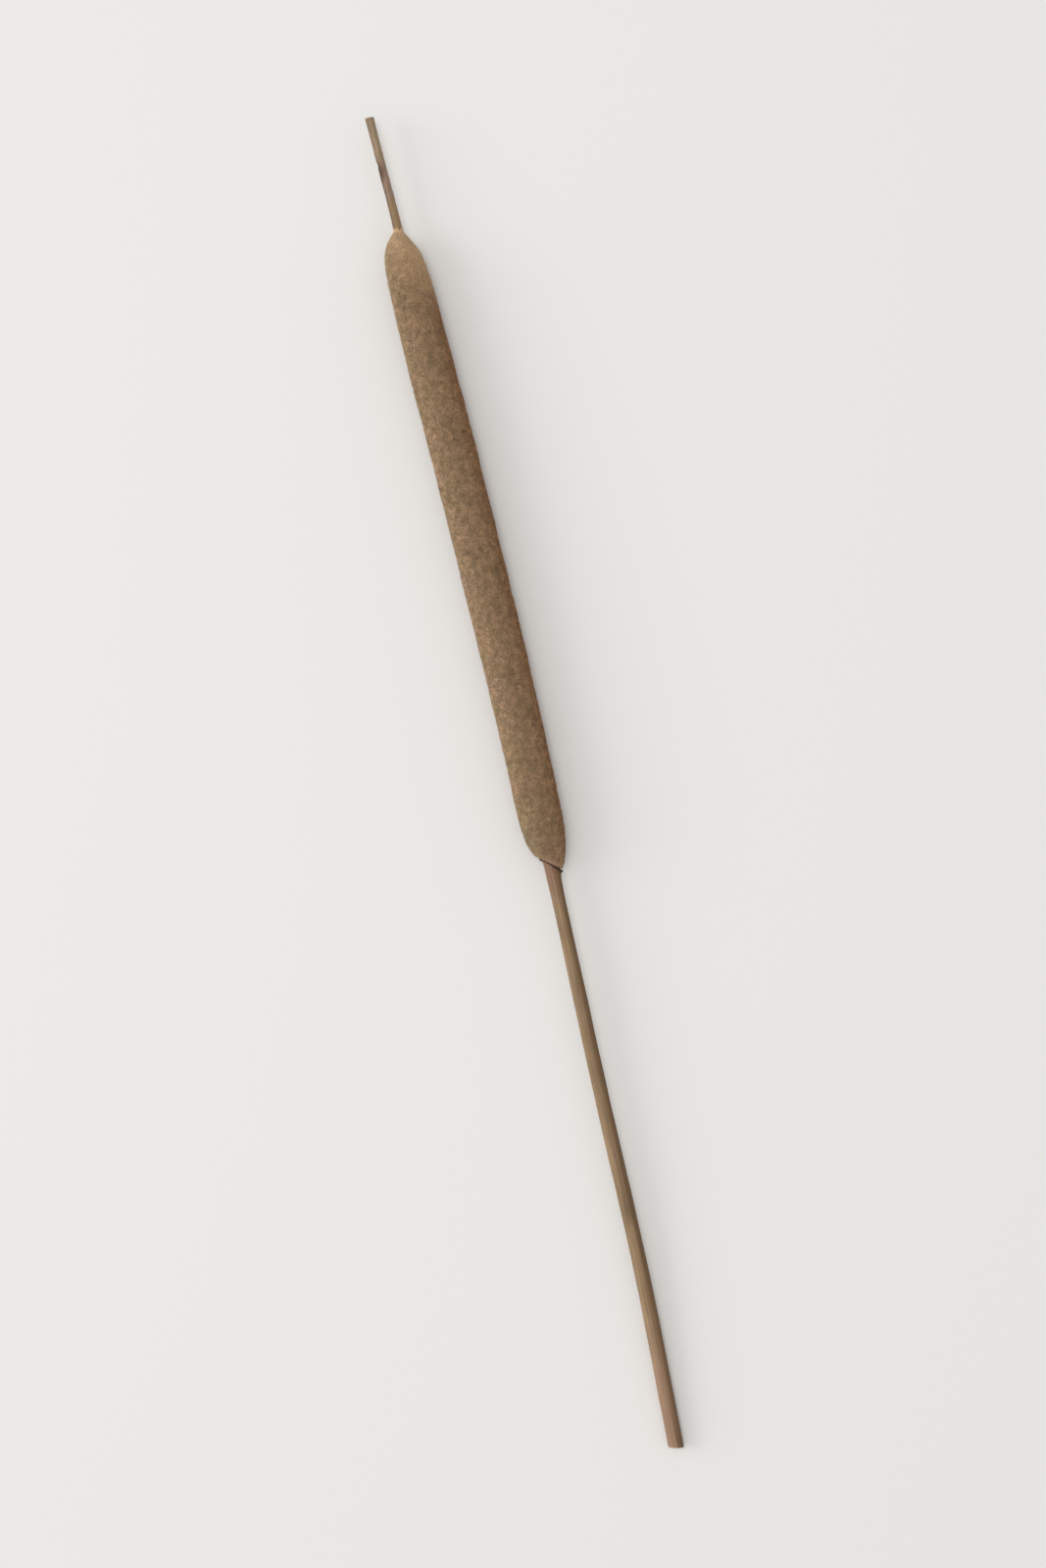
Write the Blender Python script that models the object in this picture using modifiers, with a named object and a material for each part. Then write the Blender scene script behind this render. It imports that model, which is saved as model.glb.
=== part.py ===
"""A dried cattail stalk lying on a flat surface: the bare stem, the velvety seed head and the thin spike
above it. The stalk runs along +Y from the cut end of the stem to the tip of the spike, +Z is up, and the
origin is on the surface, under the middle of the whole stalk."""

import math
import random

import bmesh
import bpy
from mathutils import Matrix, Vector

MM = 0.001

# Lengths along the stalk
STEM_LENGTH = 192.0 * MM
HEAD_LENGTH = 211.5 * MM
SPIKE_LENGTH = 37.2 * MM
HEAD_FOOT = STEM_LENGTH
HEAD_APEX = HEAD_FOOT + HEAD_LENGTH
TIP = HEAD_APEX + SPIKE_LENGTH

# How the stalk bows to the side: (distance from the cut end, sideways), a gentle double curve
CENTRE_LINE = (
    (0.0 * MM, 0.0 * MM),
    (60.0 * MM, 1.9 * MM),
    (120.0 * MM, 2.1 * MM),
    (190.0 * MM, 2.9 * MM),
    (250.0 * MM, 3.3 * MM),
    (320.0 * MM, 2.4 * MM),
    (375.0 * MM, 1.0 * MM),
    (HEAD_APEX, 0.95 * MM),
    (TIP, 0.0 * MM),
)

# Widths of the head: (distance below its apex, width)
HEAD_WIDTHS = (
    (0.0 * MM, 3.9 * MM),
    (1.0 * MM, 5.0 * MM),
    (3.7 * MM, 8.0 * MM),
    (6.5 * MM, 10.6 * MM),
    (9.2 * MM, 12.3 * MM),
    (14.2 * MM, 13.5 * MM),
    (22.8 * MM, 14.35 * MM),
    (50.0 * MM, 14.95 * MM),
    (102.0 * MM, 15.0 * MM),
    (163.0 * MM, 14.65 * MM),
    (190.0 * MM, 14.25 * MM),
    (197.0 * MM, 13.9 * MM),
    (202.3 * MM, 12.6 * MM),
    (205.0 * MM, 11.1 * MM),
    (207.7 * MM, 9.2 * MM),
    (209.8 * MM, 7.4 * MM),
    (HEAD_LENGTH, 5.9 * MM),
)
HEAD_WIDTH = max(width for _, width in HEAD_WIDTHS)
BELLY_PRESS = 0.35 * MM
AXIS_HEIGHT = HEAD_WIDTH / 2 - BELLY_PRESS

# The head leans to its left shoulder at the apex, and its lower rim hangs lower on the right
SHOULDER_SHIFT = 0.75 * MM
SHOULDER_AT = 4.6 * MM
RIM_DROP = 2.8 * MM
RIM_REACH = 16.5 * MM

# Slow swellings of the felted surface, which fade out towards both ends
SWELL_HEIGHT = 0.08 * MM
SWELL_WAVES = 5
SWELL_LONGEST = 70.0 * MM
SWELL_MOST_AROUND = 4
SWELL_FADE = 14.0 * MM
SEED = 7

# One shallow crease across the front of the head
CREASE_BELOW_APEX = 148.0 * MM
CREASE_DEPTH = 0.22 * MM
CREASE_HALF_WIDTH = 2.2 * MM

# Widths of the stem: (distance from the cut end, width), narrowest a little below the head
STEM_WIDTHS = (
    (0.0 * MM, 4.8 * MM),
    (60.0 * MM, 4.7 * MM),
    (150.0 * MM, 4.5 * MM),
    (176.0 * MM, 4.3 * MM),
    (STEM_LENGTH, 4.7 * MM),
    (STEM_LENGTH + 10.0 * MM, 4.7 * MM),
)
CUT_SLANT = math.radians(13.0)
CUT_REACH = 4.0 * MM
CUT_CLEARANCE = 0.05 * MM

# Widths of the spike: (distance above the head's apex, width), flared where the tip was cut off
SPIKE_WIDTHS = (
    (-4.0 * MM, 2.85 * MM),
    (0.0 * MM, 2.85 * MM),
    (4.0 * MM, 2.7 * MM),
    (18.0 * MM, 2.6 * MM),
    (34.0 * MM, 2.6 * MM),
    (SPIKE_LENGTH, 2.95 * MM),
)
SPIKE_RISE = 0.7 * MM
NOTCH_BELOW_TIP = 15.5 * MM
NOTCH_DEPTH = 0.4 * MM
NOTCH_HALF_WIDTH = 1.6 * MM

# Sockets in the head that the stem and the spike end in
GAP = 0.3 * MM
STEM_SOCKET_DEPTH = 9.0 * MM
SPIKE_SOCKET_DEPTH = 4.0 * MM
CUTTER_REACH = 8.0 * MM

# How finely each form is divided
HEAD_SIDES = 40
HEAD_RINGS = 58
CLOSER_AT_ENDS = 0.75
STEM_ROUNDING = 6
STEM_STEP = 8.0 * MM
SPIKE_ROUNDING = 4
SPIKE_STEP = 1.6 * MM
SOCKET_SIDES = 24
WELD = 0.00001
SHARP = math.radians(40.0)

HEAD_COLOUR = (0.231, 0.152, 0.085)
STEM_COLOUR = (0.273, 0.188, 0.102)
SPIKE_COLOUR = (0.296, 0.224, 0.147)
ROUGHNESS_VELVET = 0.95
ROUGHNESS_STRAW = 0.6


def through(points, at):
    """The value at one distance on a smooth curve through (distance, value) points."""
    at = min(max(at, points[0][0]), points[-1][0])
    last = len(points) - 1
    i = max(k for k in range(last) if points[k][0] <= at)

    def slope(k):
        a, b = points[max(k - 1, 0)], points[min(k + 1, last)]
        return (b[1] - a[1]) / (b[0] - a[0])

    (x0, y0), (x1, y1) = points[i], points[i + 1]
    span = x1 - x0
    t = (at - x0) / span
    start = (1 + 2 * t) * (1 - t) ** 2 * y0 + t * (1 - t) ** 2 * span * slope(i)
    end = t**2 * (3 - 2 * t) * y1 - t**2 * (1 - t) * span * slope(i + 1)
    return start + end


def sideways(along):
    return through(CENTRE_LINE, along)


def height(along):
    """The axis is level in the head. The stem sags from there until its cut end all but touches the
    surface, so that the pressed belly carries the stalk."""
    if along >= HEAD_FOOT:
        above = max(along - HEAD_APEX, 0.0) / SPIKE_LENGTH
        return AXIS_HEIGHT + SPIKE_RISE * above**2
    below = (HEAD_FOOT - along) / STEM_LENGTH
    drop = AXIS_HEIGHT - CUT_CLEARANCE - through(STEM_WIDTHS, 0.0) / 2
    return AXIS_HEIGHT - drop * below**2 * (3 - below) / 2


def collection(name):
    made = bpy.data.collections.new(name)
    bpy.context.scene.collection.children.link(made)
    return made


def dried(name, colour, roughness):
    """A dry plant surface of one colour."""
    material = bpy.data.materials.new(name)
    material.use_nodes = True
    shader = material.node_tree.nodes["Principled BSDF"]
    shader.inputs["Base Color"].default_value = (*colour, 1.0)
    shader.inputs["Roughness"].default_value = roughness
    shader.inputs["Metallic"].default_value = 0.0
    return material


def take_mesh(guide, name):
    """The finished mesh of a guide object, welded, as an object of its own. The guide is removed."""
    seen = guide.evaluated_get(bpy.context.evaluated_depsgraph_get())
    mesh = bpy.data.meshes.new_from_object(seen)
    mesh.name = name
    bpy.data.objects.remove(guide)
    form = bmesh.new()
    form.from_mesh(mesh)
    bmesh.ops.remove_doubles(form, verts=form.verts, dist=WELD)
    form.to_mesh(mesh)
    form.free()
    return bpy.data.objects.new(name, mesh)


def turned(name, profile, sides):
    """An upright solid turned about +Z. The profile's (radius, height) points run from top to bottom."""
    mesh = bpy.data.meshes.new(name + "_profile")
    points = [(radius, 0.0, z) for radius, z in profile]
    edges = [(i, i + 1) for i in range(len(points) - 1)]
    mesh.from_pydata(points, edges, [])
    guide = bpy.data.objects.new(name + "_profile", mesh)
    bpy.context.scene.collection.objects.link(guide)
    turn = guide.modifiers.new("turn", "SCREW")
    turn.axis = "Z"
    turn.steps = sides
    turn.render_steps = sides
    turn.use_merge_vertices = True
    turn.merge_threshold = WELD
    return take_mesh(guide, name)


def rod(name, widths, rounding, step):
    """An upright round rod along +Z, as a bevelled curve whose width follows the (height, width) points."""
    low, high = widths[0][0], widths[-1][0]
    count = round((high - low) / step) + 1
    curve = bpy.data.curves.new(name + "_line", "CURVE")
    curve.dimensions = "3D"
    curve.bevel_depth = 1.0
    curve.bevel_resolution = rounding
    curve.use_fill_caps = True
    line = curve.splines.new("POLY")
    line.points.add(count - 1)
    for i, point in enumerate(line.points):
        z = low + (high - low) * i / (count - 1)
        point.co = (0.0, 0.0, z, 1.0)
        point.radius = through(widths, z) / 2
    guide = bpy.data.objects.new(name + "_line", curve)
    bpy.context.scene.collection.objects.link(guide)
    return take_mesh(guide, name)


def lay_down(piece, shape):
    """Gives each point of an upright piece its own shape, then lays it along the bowed centre line with
    its front up."""
    for vertex in piece.data.vertices:
        x, y, along = shape(*vertex.co)
        vertex.co = (sideways(along) + x, along, height(along) - y)


def swells():
    """Directions, lengths and phases of the slow waves over the head."""
    draw = random.Random(SEED)
    waves = []
    for i in range(SWELL_WAVES):
        length = SWELL_LONGEST / (i + 1)
        around = i % SWELL_MOST_AROUND
        waves.append((around, length, draw.uniform(0, math.tau), draw.uniform(0, math.tau)))
    return waves


def head_shape(waves):
    """How the turned head becomes the grown one: swollen, creased, and lopsided at both ends."""

    def shape(x, y, along):
        radius = math.hypot(x, y)
        turn = math.atan2(y, x)
        below_apex = HEAD_APEX - along
        above_foot = along - HEAD_FOOT
        middle = min(below_apex, above_foot, SWELL_FADE) / SWELL_FADE
        swell = sum(
            math.sin(math.tau * along / length + phase) * math.cos(around * turn + start)
            for around, length, phase, start in waves
        )
        front = max(-math.sin(turn), 0.0)
        near_crease = (below_apex - CREASE_BELOW_APEX) / CREASE_HALF_WIDTH
        dent = CREASE_DEPTH * front * math.exp(-(near_crease**2))
        scale = 1.0 + (SWELL_HEIGHT * swell / SWELL_WAVES**0.5 - dent) * middle / (HEAD_WIDTH / 2)
        near_shoulder = below_apex / SHOULDER_AT
        lean = SHOULDER_SHIFT * near_shoulder * math.exp(1.0 - near_shoulder)
        hang = max(1.0 - above_foot / RIM_REACH, 0.0) ** 2
        side = math.cos(turn) if radius > WELD else 0.0
        share = min(radius / (through(HEAD_WIDTHS, HEAD_LENGTH) / 2), 1.0)
        return x * scale - lean, y * scale, along - RIM_DROP * hang * side * share

    return shape


def stem_shape(x, y, along):
    """The stem was snipped off at a slant."""
    near_cut = max(1.0 - along / CUT_REACH, 0.0)
    return x, y, along - x * math.tan(CUT_SLANT) * near_cut


def spike_shape(x, y, above):
    """The spike has an old scar on its left side, where a bract fell off."""
    from_scar = (SPIKE_LENGTH - NOTCH_BELOW_TIP - above) / NOTCH_HALF_WIDTH
    left = max(-x, 0.0) / (through(SPIKE_WIDTHS, above) / 2)
    return x + NOTCH_DEPTH * left * math.exp(-(from_scar**2)), y, HEAD_APEX + above


def press_belly(piece):
    """The head has lain on its underside, so that is pressed flat against the surface."""
    for vertex in piece.data.vertices:
        vertex.co.z = max(vertex.co.z, 0.0)


def seed_head():
    """The sleeve of packed florets, round in section, with a small flat at each end for its socket."""
    profile = [(0.0, HEAD_APEX)]
    for i in range(HEAD_RINGS + 1):
        # Rings lie closer together near both ends, where the head rounds in
        even = i / HEAD_RINGS
        closer = (1.0 - math.cos(math.pi * even)) / 2
        below = HEAD_LENGTH * (even + CLOSER_AT_ENDS * (closer - even))
        profile.append((through(HEAD_WIDTHS, below) / 2, HEAD_APEX - below))
    profile.append((0.0, HEAD_FOOT))
    head = turned("seed_head", profile, HEAD_SIDES)
    lay_down(head, head_shape(swells()))
    press_belly(head)
    return head


def socket(name, start, end, width):
    """A cutter as a straight round bar along the centre line, between two distances along the stalk."""
    low = Vector((sideways(start), start, height(start)))
    high = Vector((sideways(end), end, height(end)))
    form = bmesh.new()
    bmesh.ops.create_cone(
        form,
        cap_ends=True,
        segments=SOCKET_SIDES,
        radius1=width / 2 + GAP,
        radius2=width / 2 + GAP,
        depth=(high - low).length,
    )
    turn = (high - low).to_track_quat("Z", "Y").to_matrix().to_4x4()
    bmesh.ops.transform(form, matrix=Matrix.Translation((low + high) / 2) @ turn, verts=form.verts)
    mesh = bpy.data.meshes.new(name)
    form.to_mesh(mesh)
    form.free()
    cutter = bpy.data.objects.new(name, mesh)
    cutter.hide_render = True
    cutter.display_type = "WIRE"
    return cutter


def cut(piece, cutter):
    bite = piece.modifiers.new("cut_" + cutter.name, "BOOLEAN")
    bite.operation = "DIFFERENCE"
    bite.solver = "EXACT"
    bite.object = cutter


def stand_over_origin(pieces, everything):
    """Parents everything to an empty that brings the middle of the pieces' box over the origin."""
    places = [vertex.co for piece in pieces for vertex in piece.data.vertices]
    middle_x = (min(p.x for p in places) + max(p.x for p in places)) / 2
    middle_y = (min(p.y for p in places) + max(p.y for p in places)) / 2
    base = bpy.data.objects.new("cattail_stalk_base", None)
    base.location = (-middle_x, -middle_y, 0.0)
    bpy.context.scene.collection.objects.link(base)
    for thing in everything:
        thing.parent = base


def build():
    for old in list(bpy.data.objects):
        bpy.data.objects.remove(old)
    parts = collection("cattail_stalk")
    cutters = collection("cutters")

    head = seed_head()
    stem = rod(
        "stem",
        (*STEM_WIDTHS[:-1], (HEAD_FOOT + STEM_SOCKET_DEPTH - GAP, STEM_WIDTHS[-1][1])),
        STEM_ROUNDING,
        STEM_STEP,
    )
    lay_down(stem, stem_shape)
    spike = rod(
        "tip_spike",
        ((GAP - SPIKE_SOCKET_DEPTH, SPIKE_WIDTHS[0][1]), *SPIKE_WIDTHS[1:]),
        SPIKE_ROUNDING,
        SPIKE_STEP,
    )
    lay_down(spike, spike_shape)

    stem_socket = socket(
        "stem_socket",
        HEAD_FOOT - CUTTER_REACH,
        HEAD_FOOT + STEM_SOCKET_DEPTH,
        STEM_WIDTHS[-1][1],
    )
    spike_socket = socket(
        "spike_socket",
        HEAD_APEX - SPIKE_SOCKET_DEPTH,
        HEAD_APEX + CUTTER_REACH,
        SPIKE_WIDTHS[0][1],
    )
    for cutter in (stem_socket, spike_socket):
        cutters.objects.link(cutter)
        cut(head, cutter)

    finishes = (
        (stem, "dried_stem", STEM_COLOUR, ROUGHNESS_STRAW),
        (head, "dried_seed_velvet", HEAD_COLOUR, ROUGHNESS_VELVET),
        (spike, "dried_spike", SPIKE_COLOUR, ROUGHNESS_STRAW),
    )
    for piece, finish, colour, roughness in finishes:
        parts.objects.link(piece)
        piece.data.materials.clear()
        piece.data.materials.append(dried(finish, colour, roughness))
        piece.data.shade_smooth()
        piece.data.set_sharp_from_angle(angle=SHARP)
    pieces = [stem, head, spike]
    stand_over_origin(pieces, [*pieces, stem_socket, spike_socket])


build()
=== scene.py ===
"""The looks of a dried cattail stalk that lies on a pale surface and is seen from straight above."""

import math
import random

import bpy
import numpy as np
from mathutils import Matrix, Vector


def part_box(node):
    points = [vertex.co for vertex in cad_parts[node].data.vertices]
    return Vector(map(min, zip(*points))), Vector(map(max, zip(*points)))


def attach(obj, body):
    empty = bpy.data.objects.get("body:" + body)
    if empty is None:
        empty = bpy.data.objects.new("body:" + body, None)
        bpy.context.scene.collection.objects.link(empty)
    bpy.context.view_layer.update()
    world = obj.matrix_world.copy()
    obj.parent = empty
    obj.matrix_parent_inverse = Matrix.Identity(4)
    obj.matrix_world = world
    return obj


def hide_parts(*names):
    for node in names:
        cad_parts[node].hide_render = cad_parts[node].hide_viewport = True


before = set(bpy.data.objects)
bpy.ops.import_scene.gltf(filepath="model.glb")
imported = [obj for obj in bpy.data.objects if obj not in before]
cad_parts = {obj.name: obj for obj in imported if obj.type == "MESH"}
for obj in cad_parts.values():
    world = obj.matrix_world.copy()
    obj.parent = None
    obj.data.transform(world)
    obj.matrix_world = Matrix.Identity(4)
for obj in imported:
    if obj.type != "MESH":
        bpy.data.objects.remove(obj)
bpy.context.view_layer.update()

# Seed head, its body: some 260,000 dry florets, which grew round the upper stalk as tight as felt. Their
# stems and fluff are hidden, so the body is only seen as the brown depth between the tips that cover it.
# It ends in a lip round the stem below and in a narrow collar round the spike above.
MM = 0.001
TAU = math.tau
STEM_LENGTH = 192.0 * MM
HEAD_LENGTH = 211.5 * MM
SPIKE_LENGTH = 37.2 * MM
HEAD_FOOT = STEM_LENGTH
HEAD_APEX = HEAD_FOOT + HEAD_LENGTH
TIP = HEAD_APEX + SPIKE_LENGTH
# How the stalk bows: (distance from the cut end, distance to the right of the line between its ends)
CENTRE_LINE = (
    (0.0 * MM, 0.0 * MM),
    (60.0 * MM, 1.9 * MM),
    (120.0 * MM, 2.1 * MM),
    (190.0 * MM, 2.9 * MM),
    (250.0 * MM, 3.3 * MM),
    (320.0 * MM, 2.4 * MM),
    (375.0 * MM, 1.0 * MM),
    (HEAD_APEX, 0.95 * MM),
    (TIP, 0.0 * MM),
)
# Widths of the head: (distance below its apex, width)
HEAD_WIDTHS = (
    (0.0 * MM, 3.0 * MM),
    (1.0 * MM, 4.1 * MM),
    (2.2 * MM, 5.95 * MM),
    (3.7 * MM, 7.8 * MM),
    (6.5 * MM, 10.6 * MM),
    (9.2 * MM, 12.3 * MM),
    (14.2 * MM, 13.5 * MM),
    (22.8 * MM, 14.35 * MM),
    (50.0 * MM, 14.95 * MM),
    (102.0 * MM, 15.0 * MM),
    (163.0 * MM, 14.65 * MM),
    (190.0 * MM, 14.4 * MM),
    (197.0 * MM, 14.05 * MM),
    (202.3 * MM, 12.95 * MM),
    (205.0 * MM, 11.75 * MM),
    (207.7 * MM, 9.9 * MM),
    (209.8 * MM, 7.9 * MM),
    (HEAD_LENGTH, 5.6 * MM),
)
HEAD_WIDTH = max(width for _, width in HEAD_WIDTHS)
CUT_WIDTH = 4.8 * MM
BELLY_PRESS = 0.35 * MM
AXIS_HEIGHT = HEAD_WIDTH / 2 - BELLY_PRESS
CUT_CLEARANCE = 0.05 * MM
SPIKE_RISE = 0.7 * MM
SHOULDER_SHIFT = 0.75 * MM
SHOULDER_AT = 4.6 * MM
RIM_DROP = 2.9 * MM
RIM_REACH = 16.5 * MM
SWELL_HEIGHT = 0.08 * MM
SWELL_WAVES = 5
SWELL_LONGEST = 70.0 * MM
SWELL_MOST_AROUND = 4
SWELL_FADE = 14.0 * MM
SWELL_SEED = 7
# Creases across the front: (distance below the apex, depth, half width, how much lower on the right)
CREASES = (
    (19.5 * MM, 0.10 * MM, 0.6 * MM, 0.7 * MM),
    (51.7 * MM, 0.16 * MM, 0.5 * MM, 0.5 * MM),
    (93.0 * MM, 0.08 * MM, 0.6 * MM, -0.9 * MM),
    (148.0 * MM, 0.22 * MM, 2.2 * MM, 0.0 * MM),
    (177.0 * MM, 0.10 * MM, 0.6 * MM, -0.6 * MM),
)
PUCKER_HEIGHT = 0.06 * MM
PUCKER_SIZE = 1.3 * MM
NAP_DEPTH = 0.32 * MM
SCAR_ABOVE_FOOT = 0.8 * MM
SCAR_SLANT = RIM_DROP * (1.0 - SCAR_ABOVE_FOOT / RIM_REACH) ** 2
RIM_ROUNDING = 0.45 * MM
BODY_ABOVE_SCAR = 0.2 * MM
BODY_ROWS = 400
BODY_SIDES = 100
OUTLINE_STEPS = 4000
END_TURN_IN = 0.2
FOOT_TURN_UP = 3.0 * MM
APEX_TURN_DOWN = 2.0 * MM
FLOOR_CLEARANCE = 0.02 * MM

# The frame's origin is under the middle of the stalk, and the stalk's own distances start at the cut end
CUT_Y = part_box("tip_spike")[1].y - TIP
CUT_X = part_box("stem")[0].x + CUT_WIDTH / 2


def through(points, at):
    """The values at many distances on a smooth curve through (distance, value) points."""
    xs, ys = np.array(points).T
    slopes = np.empty(len(xs))
    slopes[1:-1] = (ys[2:] - ys[:-2]) / (xs[2:] - xs[:-2])
    slopes[0] = (ys[1] - ys[0]) / (xs[1] - xs[0])
    slopes[-1] = (ys[-1] - ys[-2]) / (xs[-1] - xs[-2])
    at = np.clip(at, xs[0], xs[-1])
    i = np.clip(np.searchsorted(xs, at, side="right") - 1, 0, len(xs) - 2)
    span = xs[i + 1] - xs[i]
    t = (at - xs[i]) / span
    start = (1 + 2 * t) * (1 - t) ** 2 * ys[i] + t * (1 - t) ** 2 * span * slopes[i]
    return start + t**2 * (3 - 2 * t) * ys[i + 1] - t**2 * (1 - t) * span * slopes[i + 1]


def laid(grown):
    """Lays points of the upright, straight stalk along its bowed middle, with the front up."""
    x, y, along = np.moveaxis(grown, -1, 0)
    below = np.clip((HEAD_FOOT - along) / STEM_LENGTH, 0.0, 1.0)
    above = np.clip((along - HEAD_APEX) / SPIKE_LENGTH, 0.0, 1.0)
    # The stem sags from the head to the floor as a beam does, and the spike rises a little
    drop = AXIS_HEIGHT - CUT_CLEARANCE - CUT_WIDTH / 2
    height = AXIS_HEIGHT - drop * below**2 * (3 - below) / 2 + SPIKE_RISE * above**2
    return np.stack([CUT_X + through(CENTRE_LINE, along) + x, CUT_Y + along, height - y], axis=-1)


def round_place(radius, turn, along):
    """Points of the upright stalk, at a radius, at a turn round it and at a distance from its cut end. A
    turn is in radians, from the right side by way of the back to the left and the front."""
    return np.stack(np.broadcast_arrays(radius * np.cos(turn), radius * np.sin(turn), along), axis=-1)


def swell(along, turn):
    """Slow swellings round and along the head, between about -1 and 1."""
    draw = random.Random(SWELL_SEED)
    total = 0.0
    for i in range(SWELL_WAVES):
        length = SWELL_LONGEST / (i + 1)
        phase, start = draw.uniform(0, TAU), draw.uniform(0, TAU)
        around = i % SWELL_MOST_AROUND
        total = total + np.sin(TAU * along / length + phase) * np.cos(around * turn + start)
    return total / SWELL_WAVES**0.5


def ripple(places, size, seed, waves=14):
    """Soft random lumps of about the given size, mostly between -1 and 1."""
    draw = np.random.default_rng(seed)
    ways = draw.normal(size=(waves, 3))
    ways /= np.linalg.norm(ways, axis=1)[:, None]
    lengths = size * draw.uniform(1.3, 2.7, waves)
    phases = draw.uniform(0, TAU, waves)
    return np.sin(places @ (ways / lengths[:, None]).T * TAU + phases).sum(-1) / waves**0.5


def head_skin(below_apex, turn, lift=0.0):
    """Points on the upright head at distances below its apex and turns round it, lifted by a height."""
    along = HEAD_APEX - below_apex
    above_foot = along - HEAD_FOOT
    middle = np.clip(np.minimum(below_apex, above_foot), 0.0, SWELL_FADE) / SWELL_FADE
    front = np.maximum(-np.sin(turn), 0.0)
    dent = 0.0
    for place, depth, half_width, slant in CREASES:
        dent = dent + depth * np.exp(-(((below_apex - place - slant * np.cos(turn)) / half_width) ** 2))
    radius = through(HEAD_WIDTHS, below_apex) / 2
    radius = radius + (SWELL_HEIGHT * swell(along, turn) - dent * front) * middle
    pucker = ripple(round_place(radius, turn, along), PUCKER_SIZE, 5)
    radius = radius + PUCKER_HEIGHT * pucker * middle + lift
    near_shoulder = below_apex / SHOULDER_AT
    lean = SHOULDER_SHIFT * near_shoulder * np.exp(1.0 - near_shoulder)
    hang = np.clip(1.0 - above_foot / RIM_REACH, 0.0, 1.0) ** 2
    places = round_place(radius, turn, along - RIM_DROP * hang * np.cos(turn))
    places[..., 0] -= lean
    return places


def keep(piece, name, values):
    """Keeps a number or an arrow for each point of a piece, for its material to read."""
    values = np.ascontiguousarray(values, dtype=np.float32)
    kind, field = ("FLOAT", "value") if values.ndim == 1 else ("FLOAT_VECTOR", "vector")
    piece.data.attributes.new(name, kind, "POINT").data.foreach_set(field, values.ravel())


def piece_from(name, places, faces, spots, grown):
    """A smooth piece from arrays: its points, its faces, each face corner's spot on the map, and where
    each point was on the straight, upright stalk."""
    mesh = bpy.data.meshes.new(name)
    mesh.from_pydata(places.reshape(-1, 3), [], faces)
    mesh.uv_layers.new(name="OFBake").uv.foreach_set("vector", spots.astype(np.float32).ravel())
    mesh.shade_smooth()
    piece = bpy.data.objects.new(name, mesh)
    bpy.context.scene.collection.objects.link(piece)
    keep(piece, "grown", grown.reshape(-1, 3))
    return piece


def tube_from(name, grown, lowest=FLOOR_CLEARANCE):
    """A round skin through rings of upright points, [ring, turn, xyz], which run towards the tip."""
    rows, sides = grown.shape[:2]
    row, side = np.meshgrid(np.arange(rows - 1), np.arange(sides), indexing="ij")
    after = (side + 1) % sides
    corners = [row * sides + side, row * sides + after, (row + 1) * sides + after, (row + 1) * sides + side]
    faces = np.stack(corners, axis=-1).reshape(-1, 4)
    u = np.stack([side, side + 1, side + 1, side], axis=-1).reshape(-1) / sides
    v = np.stack([row, row, row + 1, row + 1], axis=-1).reshape(-1) / (rows - 1)
    places = laid(grown)
    places[..., 2] = np.maximum(places[..., 2], lowest)
    return piece_from(name, places, faces, np.stack([u, v], axis=-1), grown)


def even_steps(count):
    """Distances below the apex that divide the head's outline into equal lengths, from foot to apex."""
    fine = np.linspace(0.0, HEAD_LENGTH, OUTLINE_STEPS)
    out = through(HEAD_WIDTHS, fine) / 2
    run = np.concatenate([[0.0], np.cumsum(np.hypot(np.diff(fine), np.diff(out)))])
    return np.interp(np.linspace(run[-1], 0.0, count), run, fine)


def seed_head_body():
    below = even_steps(BODY_ROWS)[:, None]
    above_scar = HEAD_LENGTH - SCAR_ABOVE_FOOT - below
    clear = above_scar[:, 0] > BODY_ABOVE_SCAR
    below, above_scar = below[clear], above_scar[clear]
    turn = (np.arange(BODY_SIDES) / BODY_SIDES * TAU)[None, :]
    rings = head_skin(below, turn, -NAP_DEPTH - RIM_ROUNDING * np.exp(-above_scar / RIM_ROUNDING))
    # Both ends turn inwards to the stalk, so that the body closes on it
    ends = []
    for end, shift in ((rings[:1], FOOT_TURN_UP), (rings[-1:], -APEX_TURN_DOWN)):
        inner = end + (end.mean(axis=1, keepdims=True) - end) * END_TURN_IN
        inner[..., 2] += shift
        ends.append(inner)
    return tube_from("seed_head_body", np.concatenate([ends[0], rings, ends[1]]), 2 * FLOOR_CLEARANCE)


def linear(hex_colour):
    """The linear colour of an sRGB hex value."""
    parts = [int(hex_colour[i : i + 2], 16) / 255 for i in (1, 3, 5)]
    return [p / 12.92 if p <= 0.04045 else ((p + 0.055) / 1.055) ** 2.4 for p in parts] + [1.0]


def add(tree, kind, values=None, links=None, **settings):
    """Adds a node with its settings, the values of its inputs, and the links into them."""
    node = tree.nodes.new("ShaderNode" + kind)
    for name, value in settings.items():
        setattr(node, name, value)
    for key, value in (values or {}).items():
        node.inputs[key].default_value = value
    for key, output in (links or {}).items():
        tree.links.new(output, node.inputs[key])
    return node


def new_material(name):
    """An empty material with a Principled shader: the material, its nodes and the shader."""
    material = bpy.data.materials.new(name)
    material.use_nodes = True
    tree = material.node_tree
    return material, tree, tree.nodes["Principled BSDF"]


# Dry plant felt, packed and matte: cellulose has an IOR near 1.5, and the felt scatters all of its gloss
# away, so it has full roughness and reads as a brown shade with no highlight. Round the lower rim, where
# it shows bare, it is redder
FELT_DEEP = "#846D51"
FELT_PALE = "#9C8466"
FELT_RIM = "#9C7D66"
FELT_ROUGHNESS = 1.0
FELT_GRAIN = 1.2 * MM
FELT_RIM_FROM = 9.0 * MM
FELT_RIM_TO = 6.0 * MM
CELLULOSE_IOR = 1.5


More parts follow.
